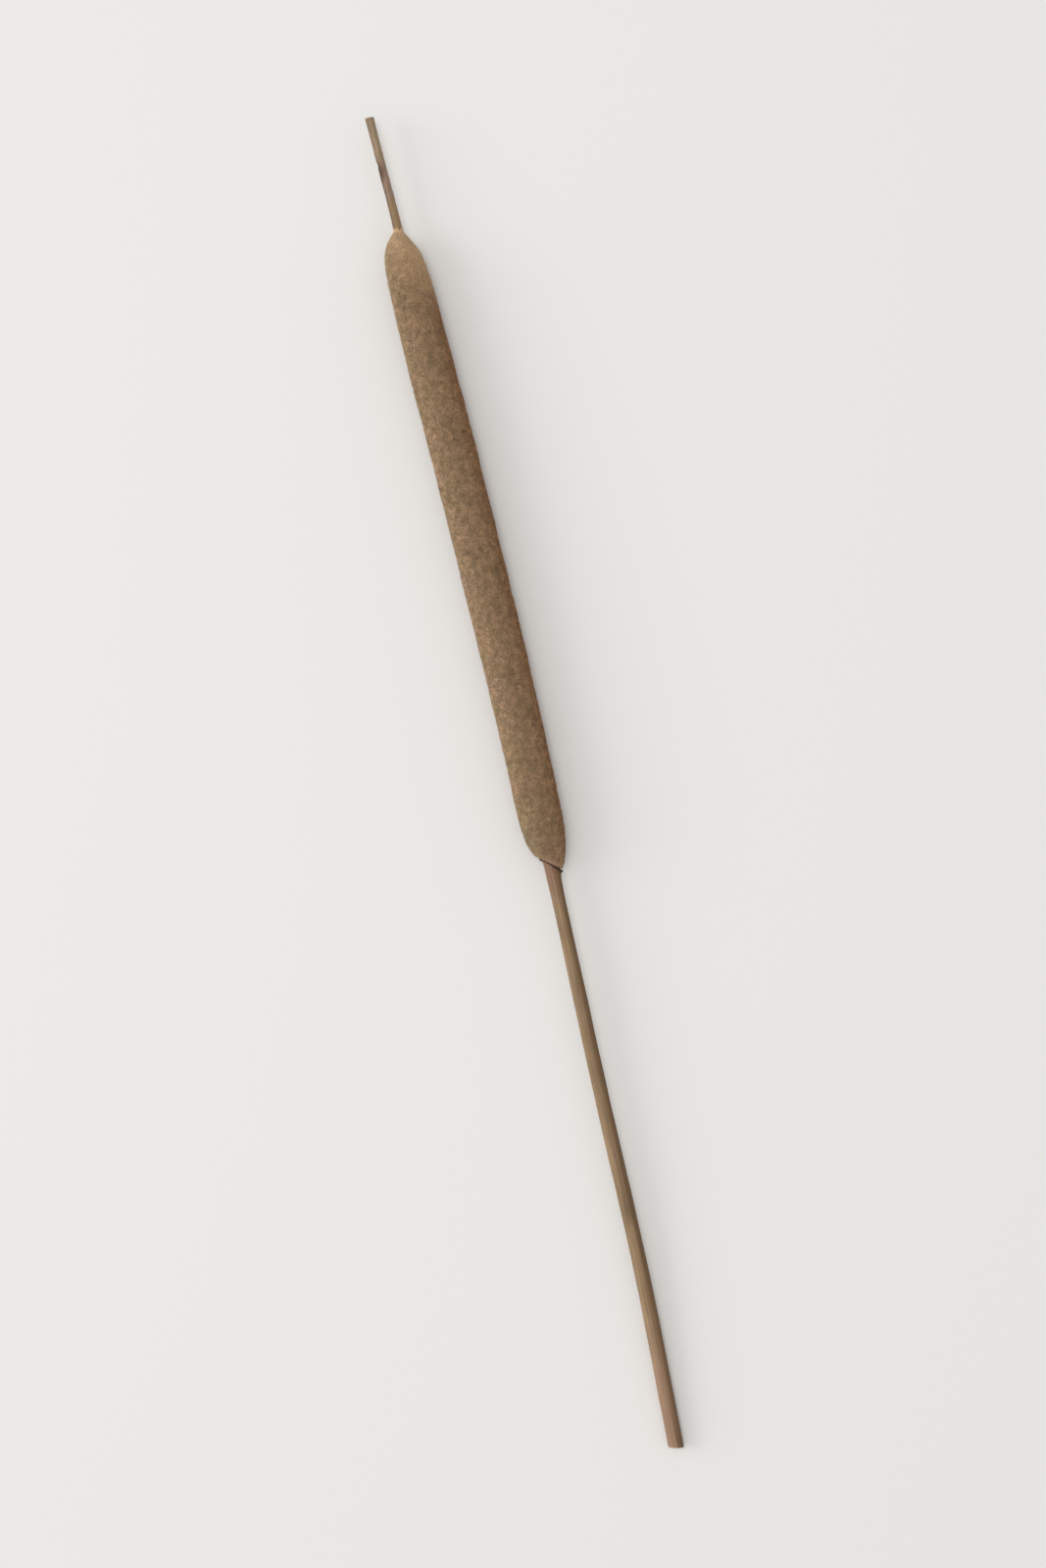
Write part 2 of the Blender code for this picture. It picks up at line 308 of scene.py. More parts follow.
def packed_floret_felt():
    material, tree, shader = new_material("packed_floret_felt")
    place = add(tree, "Attribute", attribute_name="grown").outputs["Vector"]
    grain = add(tree, "TexNoise", {"Scale": 1 / FELT_GRAIN, "Detail": 3.0}, {"Vector": place})
    tint = add(
        tree,
        "Mix",
        {6: linear(FELT_DEEP), 7: linear(FELT_PALE)},
        {0: grain.outputs["Fac"]},
        data_type="RGBA",
    )
    along = add(tree, "SeparateXYZ", links={"Vector": place}).outputs["Z"]
    low = add(
        tree,
        "MapRange",
        {"From Min": HEAD_FOOT + FELT_RIM_FROM, "From Max": HEAD_FOOT + FELT_RIM_TO},
        {"Value": along},
    )
    skin = add(
        tree,
        "Mix",
        {7: linear(FELT_RIM)},
        {0: low.outputs["Result"], 6: tint.outputs[2]},
        data_type="RGBA",
    )
    tree.links.new(skin.outputs[2], shader.inputs["Base Color"])
    shader.inputs["Roughness"].default_value = FELT_ROUGHNESS
    shader.inputs["IOR"].default_value = CELLULOSE_IOR
    return material


body = seed_head_body()
body.data.materials.append(packed_floret_felt())
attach(body, "root")
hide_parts("seed_head")

# Nap of the seed head: the dry stigma tips of some 260,000 florets, each a stub about 0.2 mm thick. They
# stand packed in a spiral, lean a little towards the apex and make the velvet that shows. Where the head
# has lain they are pressed flat, and round its lower rim they have rubbed off.
BRISTLES = 264_000
NAP_PIECES = 4
# A little thicker than in life, so that the nap closes over the body
BRISTLE_WIDTH = 0.25 * MM
BRISTLE_LENGTH = 0.36 * MM
ROOT_DEPTH = 1.05 * NAP_DEPTH
BRISTLE_LEAN = 0.22
CLUMP_LEAN = 0.16
APEX_LEAN = 1.3
APEX_LEAN_REACH = 2.0 * MM
STRAY_LEAN = 0.26
CLUMP_SIZE = 1.5 * MM
LENGTH_SPREAD = 0.18
WIDTH_SPREAD = 0.25
SCATTER_ALONG = 0.06 * MM
SCATTER_TURN = 0.009
BARE_FROM = 2.7 * MM
BARE_TO = 1.4 * MM
BARE_SHARE = 0.97
BARE_SHORTER = 0.6
GOLDEN_TURN = TAU * (1 - 2 / (1 + 5**0.5))
# Stains on the front, with painted shade along the creases at 351.8 and 255.4 mm: (distance from the cut
# end, distance right, half length, half width, how dark)
HEAD_MARKS = (
    (375.7 * MM, 0.0 * MM, 0.7 * MM, 0.7 * MM, 0.75),
    (358.5 * MM, 4.6 * MM, 3.0 * MM, 1.6 * MM, 0.2),
    (351.8 * MM, 0.5 * MM, 0.4 * MM, 3.6 * MM, 0.3),
    (335.0 * MM, 4.8 * MM, 0.7 * MM, 0.7 * MM, 0.7),
    (333.0 * MM, 1.6 * MM, 0.4 * MM, 1.1 * MM, 0.7),
    (296.6 * MM, -3.4 * MM, 0.7 * MM, 0.7 * MM, 0.7),
    (296.6 * MM, 0.9 * MM, 0.6 * MM, 0.7 * MM, 0.7),
    (288.5 * MM, 4.5 * MM, 2.4 * MM, 1.6 * MM, 0.25),
    (255.4 * MM, 1.1 * MM, 0.45 * MM, 1.3 * MM, 0.7),
)


def floret_places(count):
    """Distances below the apex and turns round the head of florets in one even spiral down to its rim."""
    fine = np.linspace(0.0, HEAD_LENGTH - BARE_TO, OUTLINE_STEPS)
    out = through(HEAD_WIDTHS, fine) / 2
    area = np.concatenate([[0.0], np.cumsum(np.hypot(np.diff(fine), np.diff(out)) * out[1:])])
    order = np.arange(count)
    below = np.interp((order + 0.5) / count * area[-1], area, fine)
    return below, order * GOLDEN_TURN % TAU


def unit(arrows):
    """Arrows of length one that point the same ways."""
    return arrows / np.linalg.norm(arrows, axis=-1, keepdims=True)


def bristles_from(name, roots, tips, widths, grown, turn, draw):
    """Bristles as three-sided spines from roots to tips, laid out on the map in rows round the head."""
    count = len(roots)
    up = unit(tips - roots)
    side = unit(np.cross(up, draw.normal(size=(count, 3))))
    other = np.cross(up, side)
    corners = [
        roots + (side * math.cos(angle) + other * math.sin(angle)) * widths[:, None] / 2
        for angle in (0.0, TAU / 3, TAU * 2 / 3)
    ]
    places = np.stack([*corners, tips], axis=1)
    places[..., 2] = np.maximum(places[..., 2], FLOOR_CLEARANCE)
    first = np.arange(count)[:, None, None] * 4
    faces = (first + np.array([[0, 1, 3], [1, 2, 3], [2, 0, 3]])).reshape(-1, 3)
    cells = math.ceil(count**0.5)
    row = np.arange(count) // cells
    order = np.lexsort((turn, row))
    column = np.empty(count)
    column[order] = np.arange(count) - row[order] * cells
    corner_spots = np.array([[0.1, 0.15], [0.9, 0.15], [0.5, 0.05], [0.5, 0.9]])
    spots = (np.stack([column, row], axis=-1)[:, None, :] + corner_spots) / cells
    face_spots = spots.reshape(-1, 2)[faces.ravel()]
    piece = piece_from(name, places, faces, face_spots, np.repeat(grown, 4, axis=0))
    keep(piece, "up_bristle", np.tile([0.0, 0.0, 0.0, 1.0], count))
    keep(piece, "own_shade", np.repeat(draw.uniform(0.0, 1.0, count), 4))
    keep(piece, "stain_and_shade", np.repeat(marked(grown, HEAD_MARKS), 4))
    return piece


def marked(grown, marks):
    """How strongly points of the upright stalk are darkened by marks on its front: stains, and painted
    shade along creases.
    """
    total = 0.0
    for along, right, half_length, half_width, dark in marks:
        apart = ((grown[..., 2] - along) / half_length) ** 2 + ((grown[..., 0] - right) / half_width) ** 2
        total = total + dark * np.exp(-apart) * (grown[..., 1] < 0.0)
    return np.clip(total, 0.0, 1.0)


def seed_head_nap():
    draw = np.random.default_rng(11)
    below, turn = floret_places(BRISTLES)
    bare = np.clip((below - HEAD_LENGTH + BARE_FROM) / (BARE_FROM - BARE_TO), 0.0, 1.0)
    left = draw.uniform(0.0, 1.0, BRISTLES) > BARE_SHARE * bare
    below, turn, bare = below[left], turn[left], bare[left]
    count = len(below)
    below = np.clip(below + draw.normal(0, SCATTER_ALONG, count), 0.0, None)
    turn = turn + draw.normal(0, SCATTER_TURN, count)
    step = 0.05 * MM
    small_turn = 0.01
    grown = head_skin(below, turn)
    skin = laid(grown)
    to_apex = unit(laid(head_skin(below - step, turn)) - laid(head_skin(below + step, turn)))
    around = unit(laid(head_skin(below, turn + small_turn)) - laid(head_skin(below, turn - small_turn)))
    out = np.cross(around, to_apex)
    lean = BRISTLE_LEAN + APEX_LEAN * np.exp(-below / APEX_LEAN_REACH)
    lean = lean + CLUMP_LEAN * ripple(grown, CLUMP_SIZE, 8) + draw.normal(0, STRAY_LEAN, count)
    slant = CLUMP_LEAN * ripple(grown, CLUMP_SIZE, 9) + draw.normal(0, STRAY_LEAN, count)
    ways = unit(out + to_apex * lean[:, None] + around * slant[:, None])
    lengths = BRISTLE_LENGTH * draw.uniform(1 - LENGTH_SPREAD, 1 + LENGTH_SPREAD, count)
    lengths = lengths * (1.0 - BARE_SHORTER * bare)
    roots = skin - out * ROOT_DEPTH
    tips = roots + ways * lengths[:, None]
    widths = BRISTLE_WIDTH * draw.uniform(1 - WIDTH_SPREAD, 1 + WIDTH_SPREAD, count)
    naps = []
    for k in range(NAP_PIECES):
        own = slice(k, None, NAP_PIECES)
        name = f"seed_head_nap_{k + 1}"
        naps.append(bristles_from(name, roots[own], tips[own], widths[own], grown[own], turn[own], draw))
    return naps


# Dry stigma tips: the same cellulose with brown tannins, too fine for any gloss. Patches grew olive or
# pinkish, and single tips are paler or darker. The apex is bleached, and painted shade on its left makes it
# least pale there. The foot is dull. The right half carries a painted warm shade, with a painted ruddy
# shade at its right edge. The eye takes all this for suede
NAP_OLIVE = "#AF9572"
NAP_PINK = "#B8987B"
NAP_PALE = "#E2C098"
# Dark of the stains and of the painted shade along two creases
NAP_FOOT = "#AB9574"
NAP_SPOT_AND_CREASE_SHADE = "#5C4430"
# Painted shade: warm over the right half, ruddy at the right edge
NAP_WARM_SHADE = "#B4916E"
NAP_RUDDY_SHADE = "#A27148"
NAP_ROUGHNESS = 0.95
PALE_REACH = 25.0 * MM
PALE_FULL = 6.0 * MM
PALE_SLANT = 0.9
PALE_MOST = 0.92
# Painted shade on the apex's left, which leaves it less pale there
APEX_LEFT_SHADE_PALE = 0.3
APEX_LEFT_SHADE_FROM = 1.5 * MM
APEX_LEFT_SHADE_TO = 5.5 * MM
FOOT_REACH = 34.0 * MM
FOOT_DULL = 0.8
PATCH_SIZE = 7.0 * MM
MOTTLE_SIZE = 2.2 * MM
FLECK_SIZE = 0.65 * MM
# Where the painted warm and ruddy shades on the right begin and are full, and how strong they are
WARM_SHADE_TO = 2.2 * MM
WARM_SHADE_MOST = 0.8
RUDDY_SHADE_FROM = 3.6 * MM
RUDDY_SHADE_TO = 7.5 * MM
RUDDY_SHADE_MOST = 0.7


def shaded(tree, colour, shades):
    """A colour, darkened and lightened in turn by sources: each is (source, its least and its most, the
    darkest and the lightest shade)."""
    for source, least, most, darkest, lightest in shades:
        shade = add(
            tree,
            "MapRange",
            {"From Min": least, "From Max": most, "To Min": darkest, "To Max": lightest},
            {"Value": source},
        )
        links = {0: colour, "Scale": shade.outputs["Result"]}
        colour = add(tree, "VectorMath", links=links, operation="SCALE").outputs["Vector"]
    return colour


def dry_stigma_velvet():
    material, tree, shader = new_material("dry_stigma_velvet")
    place = add(tree, "Attribute", attribute_name="grown").outputs["Vector"]
    right, _, along = add(tree, "SeparateXYZ", links={"Vector": place}).outputs
    patch = add(tree, "TexNoise", {"Scale": 1 / PATCH_SIZE, "Detail": 3.0}, {"Vector": place})
    hue = add(tree, "MapRange", {"From Min": 0.38, "From Max": 0.62}, {"Value": patch.outputs["Fac"]})
    brown = add(
        tree,
        "Mix",
        {6: linear(NAP_OLIVE), 7: linear(NAP_PINK)},
        {0: hue.outputs["Result"]},
        data_type="RGBA",
    )
    dull = add(
        tree,
        "MapRange",
        {"From Min": HEAD_FOOT + FOOT_REACH, "From Max": HEAD_FOOT, "To Max": FOOT_DULL},
        {"Value": along},
        interpolation_type="SMOOTHSTEP",
    )
    lower = add(
        tree,
        "Mix",
        {7: linear(NAP_FOOT)},
        {0: dull.outputs["Result"], 6: brown.outputs[2]},
        data_type="RGBA",
    )
    # Painted warm shade over the right half
    warm_shade_share = add(
        tree,
        "MapRange",
        {"From Min": -WARM_SHADE_TO, "From Max": WARM_SHADE_TO, "To Max": WARM_SHADE_MOST},
        {"Value": right},
    )
    warm_shaded = add(
        tree,
        "Mix",
        {7: linear(NAP_WARM_SHADE)},
        {0: warm_shade_share.outputs["Result"], 6: lower.outputs[2]},
        data_type="RGBA",
    )
    # Painted ruddy shade at the right edge
    ruddy_shade_share = add(
        tree,
        "MapRange",
        {"From Min": RUDDY_SHADE_FROM, "From Max": RUDDY_SHADE_TO, "To Max": RUDDY_SHADE_MOST},
        {"Value": right},
    )
    sides = add(
        tree,
        "Mix",
        {7: linear(NAP_RUDDY_SHADE)},
        {0: ruddy_shade_share.outputs["Result"], 6: warm_shaded.outputs[2]},
        data_type="RGBA",
    )
    mottle = add(tree, "TexNoise", {"Scale": 1 / MOTTLE_SIZE, "Detail": 2.0}, {"Vector": place})
    fleck = add(tree, "TexNoise", {"Scale": 1 / FLECK_SIZE, "Detail": 2.0}, {"Vector": place})
    grain = (
        (mottle.outputs["Fac"], 0.34, 0.64, 0.85, 1.12),
        (fleck.outputs["Fac"], 0.34, 0.60, 0.66, 1.16),
    )
    slanted = add(tree, "VectorMath", {1: (PALE_SLANT, 0.0, 1.0)}, {0: place}, operation="DOT_PRODUCT")
    # Painted shade on the apex's left takes away part of its paleness
    apex_left_shade = add(
        tree,
        "MapRange",
        {
            "From Min": -APEX_LEFT_SHADE_TO,
            "From Max": -APEX_LEFT_SHADE_FROM,
            "To Min": APEX_LEFT_SHADE_PALE,
            "To Max": PALE_MOST,
        },
        {"Value": right},
    )
    bleached = add(
        tree,
        "MapRange",
        {"From Min": HEAD_APEX - PALE_REACH, "From Max": HEAD_APEX - PALE_FULL},
        {"Value": slanted.outputs["Value"], "To Max": apex_left_shade.outputs["Result"]},
    )
    upper = add(
        tree,
        "Mix",
        {7: linear(NAP_PALE)},
        {0: bleached.outputs["Result"], 6: shaded(tree, sides.outputs[2], grain)},
        data_type="RGBA",
    )
    # Stains, and painted shade along two creases
    stain_and_shade = add(tree, "Attribute", attribute_name="stain_and_shade").outputs["Fac"]
    tint = add(tree, "Mix", {7: linear(NAP_SPOT_AND_CREASE_SHADE)}, {0: stain_and_shade, 6: upper.outputs[2]}, data_type="RGBA")
    up = add(tree, "Attribute", attribute_name="up_bristle").outputs["Fac"]
    own = add(tree, "Attribute", attribute_name="own_shade").outputs["Fac"]
    bristle = (
        (mottle.outputs["Fac"], 0.3, 0.7, 0.90, 1.10),
        (up, 0.0, 1.0, 0.86, 1.06),
        (own, 0.0, 1.0, 0.84, 1.26),
    )
    tree.links.new(shaded(tree, tint.outputs[2], bristle), shader.inputs["Base Color"])
    shader.inputs["Roughness"].default_value = NAP_ROUGHNESS
    shader.inputs["IOR"].default_value = CELLULOSE_IOR
    return material


velvet = dry_stigma_velvet()
for nap in seed_head_nap():
    nap.data.materials.append(velvet)
    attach(nap, "root")
    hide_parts("seed_head")

# Collar of the seed head: the topmost florets, which grew up along the spike and hug it. They are longer
# and paler than the rest, so that the head ends in a small pale cone of fluff.
COLLAR_HAIRS = 3_400
COLLAR_DOWN = 1.0 * MM
COLLAR_RISE = 1.1 * MM
COLLAR_ROOT = 0.3 * MM
COLLAR_FLUFF = 0.08 * MM
COLLAR_HAIR_WIDTH = 0.16 * MM
# Widths of the spike: (distance above the head's apex, width)
SPIKE_WIDTHS = (
    (-4.0 * MM, 3.0 * MM),
    (0.0 * MM, 3.0 * MM),
    (4.0 * MM, 2.9 * MM),
    (18.0 * MM, 2.8 * MM),
    (34.0 * MM, 2.75 * MM),
    (SPIKE_LENGTH, 2.95 * MM),
)


def collar_hairs():
    draw = np.random.default_rng(23)
    turn = draw.uniform(0, TAU, COLLAR_HAIRS)
    below = np.sort(COLLAR_DOWN * draw.uniform(0, 1, COLLAR_HAIRS) ** 0.7)
    foot = head_skin(below, turn, -COLLAR_ROOT)
    along = foot[..., 2] + COLLAR_RISE * draw.uniform(0.4, 1.0, COLLAR_HAIRS)
    fluff = COLLAR_FLUFF * draw.uniform(0.1, 1.0, COLLAR_HAIRS)
    end_turn = turn + draw.normal(0, 0.12, COLLAR_HAIRS)
    end = round_place(through(SPIKE_WIDTHS, along - HEAD_APEX) / 2 + fluff, end_turn, along)
    widths = COLLAR_HAIR_WIDTH * draw.uniform(0.7, 1.3, COLLAR_HAIRS)
    return bristles_from("seed_head_collar", laid(foot), laid(end), widths, foot, turn, draw)


collar = collar_hairs()
collar.data.shade_flat()
collar.data.materials.append(velvet)
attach(collar, "root")
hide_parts("seed_head")

# Stem: a dry rush stem, a smooth rind over pith, which shrank into faint ribs as it dried. It runs up
# into the seed head, widening just below it, and its lower end was snipped off at a slant.
# Widths of the stem: (distance from the cut end, width)
STEM_WIDTHS = (
    (0.0 * MM, 4.95 * MM),
    (60.0 * MM, 4.8 * MM),
    (150.0 * MM, 4.55 * MM),
    (176.0 * MM, 4.3 * MM),
    (STEM_LENGTH, 4.7 * MM),
    (STEM_LENGTH + 10.0 * MM, 4.7 * MM),
)
CUT_SLANT = math.radians(13.0)
CUT_REACH = 4.0 * MM
STEM_INTO_HEAD = 8.0 * MM
NECK_FLARE = 0.3 * MM
NECK_FLARE_REACH = 1.8 * MM
STEM_ROWS = 300
STEM_SIDES = 120
# The ribs as waves round the stem: (how many, height), and how they wander: (turn, distance along)
RIBS = ((7, 0.030 * MM), (13, 0.030 * MM), (22, 0.018 * MM), (31, 0.012 * MM))
RIB_WANDERS = ((0.35, 70.0 * MM), (0.05, 9.0 * MM))
RIB_SINK = 0.2
DENT_SIZE = 1.6 * MM
DENT_DEPTH = 0.03 * MM
DENT_STRETCH = 0.25
BLEMISH_ALONG = 79.0 * MM
BLEMISH_LENGTH = 5.0 * MM
BLEMISH_DARK = 0.3
SPECK_SIZE = 1.1 * MM
SPECK_STRETCH = 0.45
SPECK_RARITY = 1.9


def stem_rings():
    along = np.linspace(0.0, HEAD_FOOT + STEM_INTO_HEAD, STEM_ROWS)[:, None]
    turn = (np.arange(STEM_SIDES) / STEM_SIDES * TAU)[None, :]
    radius = through(STEM_WIDTHS, along) / 2
    twist = turn
    for most, distance in RIB_WANDERS:
        twist = twist + most * np.sin(along / distance)
    for count, height in RIBS:
        radius = radius + height * (np.cos(count * (twist + count)) - RIB_SINK)
    straight = round_place(radius, turn, along * DENT_STRETCH)
    radius = radius + ripple(straight, DENT_SIZE, 21) * DENT_DEPTH
    below_scar = HEAD_FOOT + SCAR_ABOVE_FOOT - SCAR_SLANT * np.cos(turn) - along
    radius = radius + NECK_FLARE * np.exp(-((np.maximum(below_scar, 0.0) / NECK_FLARE_REACH) ** 2))
    rings = round_place(radius, turn, along)
    rings[..., 2] -= rings[..., 0] * math.tan(CUT_SLANT) * np.clip(1.0 - along / CUT_REACH, 0.0, 1.0)
    return rings


def stem_stains(rings):
    """How dark the rind is stained: at one old blemish, and in a few small weathered specks."""
    along = rings[..., 2]
    turn = np.arctan2(rings[..., 1], rings[..., 0])
    blemish = np.exp(-(((along - BLEMISH_ALONG) / BLEMISH_LENGTH) ** 2)) * np.clip(-np.sin(turn), 0, 1)
    specks = np.clip(ripple(rings * [1.0, 1.0, SPECK_STRETCH], SPECK_SIZE, 25) - SPECK_RARITY, 0.0, 1.0)
    return np.clip(BLEMISH_DARK * blemish + specks, 0.0, 1.0)


# Dry straw: the rind's thin wax makes it smoother than the head, so it is half matte, roughness 0.5 to
# 0.7, with a soft long highlight. It is ruddy at the neck and pale near the cut, and a painted brown shade
# runs down its right side. Its lengthwise fibres show as darker and paler streaks, drawn at 0.3 mm because
# the real ones, at about 0.1 mm, are too fine to show
STEM_TAN = "#997D5E"
STEM_OLIVE = "#886D4D"
STEM_NECK = "#916C54"
# Painted shade: the stem's right side turns brown
STEM_STAIN = "#5B4632"
STEM_SHADE_BROWN = "#664722"
STEM_LOW = "#A38168"
STEM_SHADE_FROM = -0.3 * MM
STEM_SHADE_TO = 2.3 * MM
NECK_REACH = 11.0 * MM
NECK_FULL = 3.3 * MM
NECK_MOST = 0.85
LOW_REACH = 48.0 * MM
LOW_FULL = 19.2 * MM
LOW_MOST = 0.8
FIBRE_WIDTH = 0.3 * MM
FIBRE_STRETCH = 0.03
BLOTCH_SIZE = 12.0 * MM


def straw_rind():
    material, tree, shader = new_material("dry_straw_rind")
    place = add(tree, "Attribute", attribute_name="grown").outputs["Vector"]
    right, _, along = add(tree, "SeparateXYZ", links={"Vector": place}).outputs
    stretched = add(tree, "Mapping", {"Scale": (1.0, 1.0, FIBRE_STRETCH)}, {"Vector": place})
    drawn_out = stretched.outputs["Vector"]
    fibre = add(tree, "TexNoise", {"Scale": 1 / FIBRE_WIDTH, "Detail": 2.0}, {"Vector": drawn_out})
    band = add(tree, "TexNoise", {"Scale": 0.25 / FIBRE_WIDTH, "Detail": 2.0}, {"Vector": drawn_out})
    blotch = add(tree, "TexNoise", {"Scale": 1 / BLOTCH_SIZE, "Detail": 4.0}, {"Vector": place})
    hue = add(tree, "MapRange", {"From Min": 0.35, "From Max": 0.65}, {"Value": blotch.outputs["Fac"]})
    straw = add(
        tree,
        "Mix",
        {6: linear(STEM_OLIVE), 7: linear(STEM_TAN)},
        {0: hue.outputs["Result"]},
        data_type="RGBA",
    )
    red = add(
        tree,
        "MapRange",
        {"From Min": HEAD_FOOT - NECK_REACH, "From Max": HEAD_FOOT - NECK_FULL, "To Max": NECK_MOST},
        {"Value": along},
        interpolation_type="SMOOTHSTEP",
    )
    neck = add(
        tree,
        "Mix",
        {7: linear(STEM_NECK)},
        {0: red.outputs["Result"], 6: straw.outputs[2]},
        data_type="RGBA",
    )
    pale = add(
        tree,
        "MapRange",
        {"From Min": LOW_REACH, "From Max": LOW_FULL, "To Max": LOW_MOST},
        {"Value": along},
        interpolation_type="SMOOTHSTEP",
    )
    low = add(
        tree,
        "Mix",
        {7: linear(STEM_LOW)},
        {0: pale.outputs["Result"], 6: neck.outputs[2]},
        data_type="RGBA",
    )
    # Painted brown shade down the stem's right side
    right_side_shade = add(
        tree,
        "MapRange",
        {"From Min": STEM_SHADE_FROM, "From Max": STEM_SHADE_TO},
        {"Value": right},
    )
    sides = add(
        tree,
        "Mix",
        {7: linear(STEM_SHADE_BROWN)},
        {0: right_side_shade.outputs["Result"], 6: low.outputs[2]},
        data_type="RGBA",
    )
    stain_and_shade = add(tree, "Attribute", attribute_name="stain_and_shade").outputs["Fac"]
    tint = add(tree, "Mix", {7: linear(STEM_STAIN)}, {0: stain_and_shade, 6: sides.outputs[2]}, data_type="RGBA")
    shades = (
        (fibre.outputs["Fac"], 0.3, 0.7, 0.84, 1.14),
        (band.outputs["Fac"], 0.35, 0.65, 0.86, 1.12),
    )
    tree.links.new(shaded(tree, tint.outputs[2], shades), shader.inputs["Base Color"])
    gloss = add(
        tree,
        "MapRange",
        {"From Min": 0.3, "From Max": 0.7, "To Min": 0.5, "To Max": 0.7},
        {"Value": fibre.outputs["Fac"]},
    )
    tree.links.new(gloss.outputs["Result"], shader.inputs["Roughness"])
    shader.inputs["IOR"].default_value = CELLULOSE_IOR
    bump = add(tree, "Bump", {"Strength": 0.3, "Distance": 0.05 * MM}, {"Height": fibre.outputs["Fac"]})
    tree.links.new(bump.outputs["Normal"], shader.inputs["Normal"])
    return material


rings = stem_rings()
stem = tube_from("stem_rind", rings)
keep(stem, "stain_and_shade", stem_stains(rings).ravel())
stem.data.materials.append(straw_rind())
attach(stem, "root")
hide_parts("stem")

# Cut end of the stem: a thin tough rind round spongy cream pith, with the ends of the stem's fibre
# bundles as small darker dots. The blade left it flat, and the pith has shrunk back a little.
RIND_WIDTH = 0.22 * MM
PITH_SINK = 0.22 * MM
PITH_SLOPE = 0.3 * MM
PITH_LUMP_SIZE = 0.22 * MM
PITH_LUMP_HEIGHT = 0.03 * MM
PITH_RINGS = 34
BUNDLE_SPACING = 0.5 * MM


def stem_cut_face():
    rim = stem_rings()[:1]
    middle = rim.mean(axis=1, keepdims=True)
    face = middle + (rim - middle) * np.linspace(0.01, 1.0, PITH_RINGS)[:, None, None]
    depth = np.linalg.norm(rim - face, axis=-1)
    inside = np.clip((depth - RIND_WIDTH) / PITH_SLOPE, 0.0, 1.0)
    face[..., 2] += (PITH_SINK + ripple(face, PITH_LUMP_SIZE, 31) * PITH_LUMP_HEIGHT) * inside
    piece = tube_from("stem_cut_face", face)
    keep(piece, "inside", inside.ravel())
    return piece


# Dry pith: foamed cellulose, the palest and most matte thing on the stalk, inside the rind's brown edge
PITH_PALE = "#CDBB9A"
PITH_BUNDLE = "#9A7F5C"
RIND_EDGE = "#7A6245"
PITH_ROUGHNESS = 0.95


def dry_pith():
    material, tree, shader = new_material("dry_rush_pith")
    place = add(tree, "Attribute", attribute_name="grown").outputs["Vector"]
    bundles = add(tree, "TexVoronoi", {"Scale": 1 / BUNDLE_SPACING}, {"Vector": place})
    clear = add(
        tree,
        "MapRange",
        {"From Min": 0.14, "From Max": 0.32},
        {"Value": bundles.outputs["Distance"]},
        interpolation_type="SMOOTHSTEP",
    )
    pith = add(
        tree,
        "Mix",
        {6: linear(PITH_BUNDLE), 7: linear(PITH_PALE)},
        {0: clear.outputs["Result"]},
        data_type="RGBA",
    )
    inside = add(tree, "Attribute", attribute_name="inside").outputs["Fac"]
    tint = add(tree, "Mix", {6: linear(RIND_EDGE)}, {0: inside, 7: pith.outputs[2]}, data_type="RGBA")
    tree.links.new(tint.outputs[2], shader.inputs["Base Color"])
    shader.inputs["Roughness"].default_value = PITH_ROUGHNESS
    shader.inputs["IOR"].default_value = CELLULOSE_IOR
    return material


cut_face = stem_cut_face()
cut_face.data.materials.append(dry_pith())
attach(cut_face, "root")
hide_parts("stem")

# Bract scar: a papery bract once wrapped the young head and grew from here. It fell off and left a dark
# corky line round the stem, close under the head's lip and thickest at both sides. Its nearly black band is
# partly this scar and partly painted shade in the gap under the lip.
# The band widens at both sides, where the painted shade in the gap under the lip is deepest
SCAR_HALF_LENGTH = 0.56 * MM
SCAR_LEFT_EXTRA = 0.40 * MM
SCAR_RIGHT_EXTRA = 0.30 * MM
SCAR_HEIGHT = 0.62 * MM
SCAR_SIDE_HEIGHT = 0.50 * MM
SCAR_LEFT_TURN = 0.55
SCAR_RIGHT_TURN = 0.6
SCAR_ROOT = 0.12 * MM
CORK_LUMP_SIZE = 0.3 * MM
CORK_LUMP_HEIGHT = 0.04 * MM
SCAR_ROWS = 9
SCAR_SIDES = 120


def bract_scar_and_lip_shade():
    across = np.linspace(-1.0, 1.0, SCAR_ROWS)[:, None]
    turn = (np.arange(SCAR_SIDES) / SCAR_SIDES * TAU)[None, :]
    left = np.exp(-(((turn - math.pi) / SCAR_LEFT_TURN) ** 2))
    right = np.exp(-((np.minimum(turn, TAU - turn) / SCAR_RIGHT_TURN) ** 2))
    half_length = SCAR_HALF_LENGTH + SCAR_LEFT_EXTRA * left + SCAR_RIGHT_EXTRA * right
    height = SCAR_HEIGHT + SCAR_SIDE_HEIGHT * (left + right)
    along = HEAD_FOOT + SCAR_ABOVE_FOOT - SCAR_SLANT * np.cos(turn) + across * half_length
    radius = through(STEM_WIDTHS, along) / 2 - SCAR_ROOT + height * (1 - across**2)
    lumps = ripple(round_place(radius, turn, along), CORK_LUMP_SIZE, 51) * CORK_LUMP_HEIGHT
    return tube_from("bract_scar_and_lip_shade", round_place(radius + lumps, turn, along))


# Cork: dead brown cells with no wax, and matte. It is nearly black between the velvet and the straw, partly
# its own colour and partly painted shade under the lip
CORK_DARK_SHADE = "#3A2718"
CORK_BROWN = "#5A3F29"
CORK_ROUGHNESS = 0.9
CORK_GRAIN = 0.5 * MM


